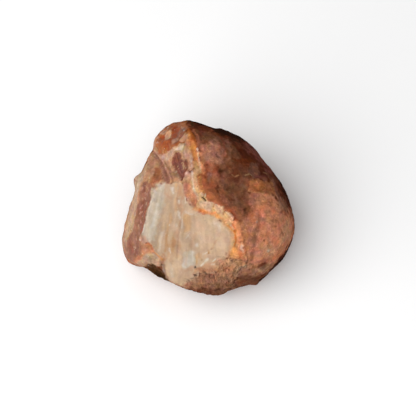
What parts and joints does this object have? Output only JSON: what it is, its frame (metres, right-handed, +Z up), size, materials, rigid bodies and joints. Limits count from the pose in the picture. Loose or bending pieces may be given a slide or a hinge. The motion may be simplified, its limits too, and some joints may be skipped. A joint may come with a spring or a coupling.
{
  "type": "raw carnelian",
  "caption": "Raw carnelian pebble: worn rust-brown skin, broken open on its front to a milky fibrous face with orange seams, lying on a flat underside.",
  "frame": {"origin": "middle of the bounding box's lowest face, on the surface the stone lies on", "axes": "+Z up from the flat underside; +Y away from the viewer; the broken milky face looks up, towards -X and -Y"},
  "size_m": [0.0482, 0.0478, 0.034],
  "materials": {
    "carnelian": "waxy raw stone"
  },
  "bodies": {
    "root": {"carnelian_stone": "carnelian"}
  },
  "joints": []
}
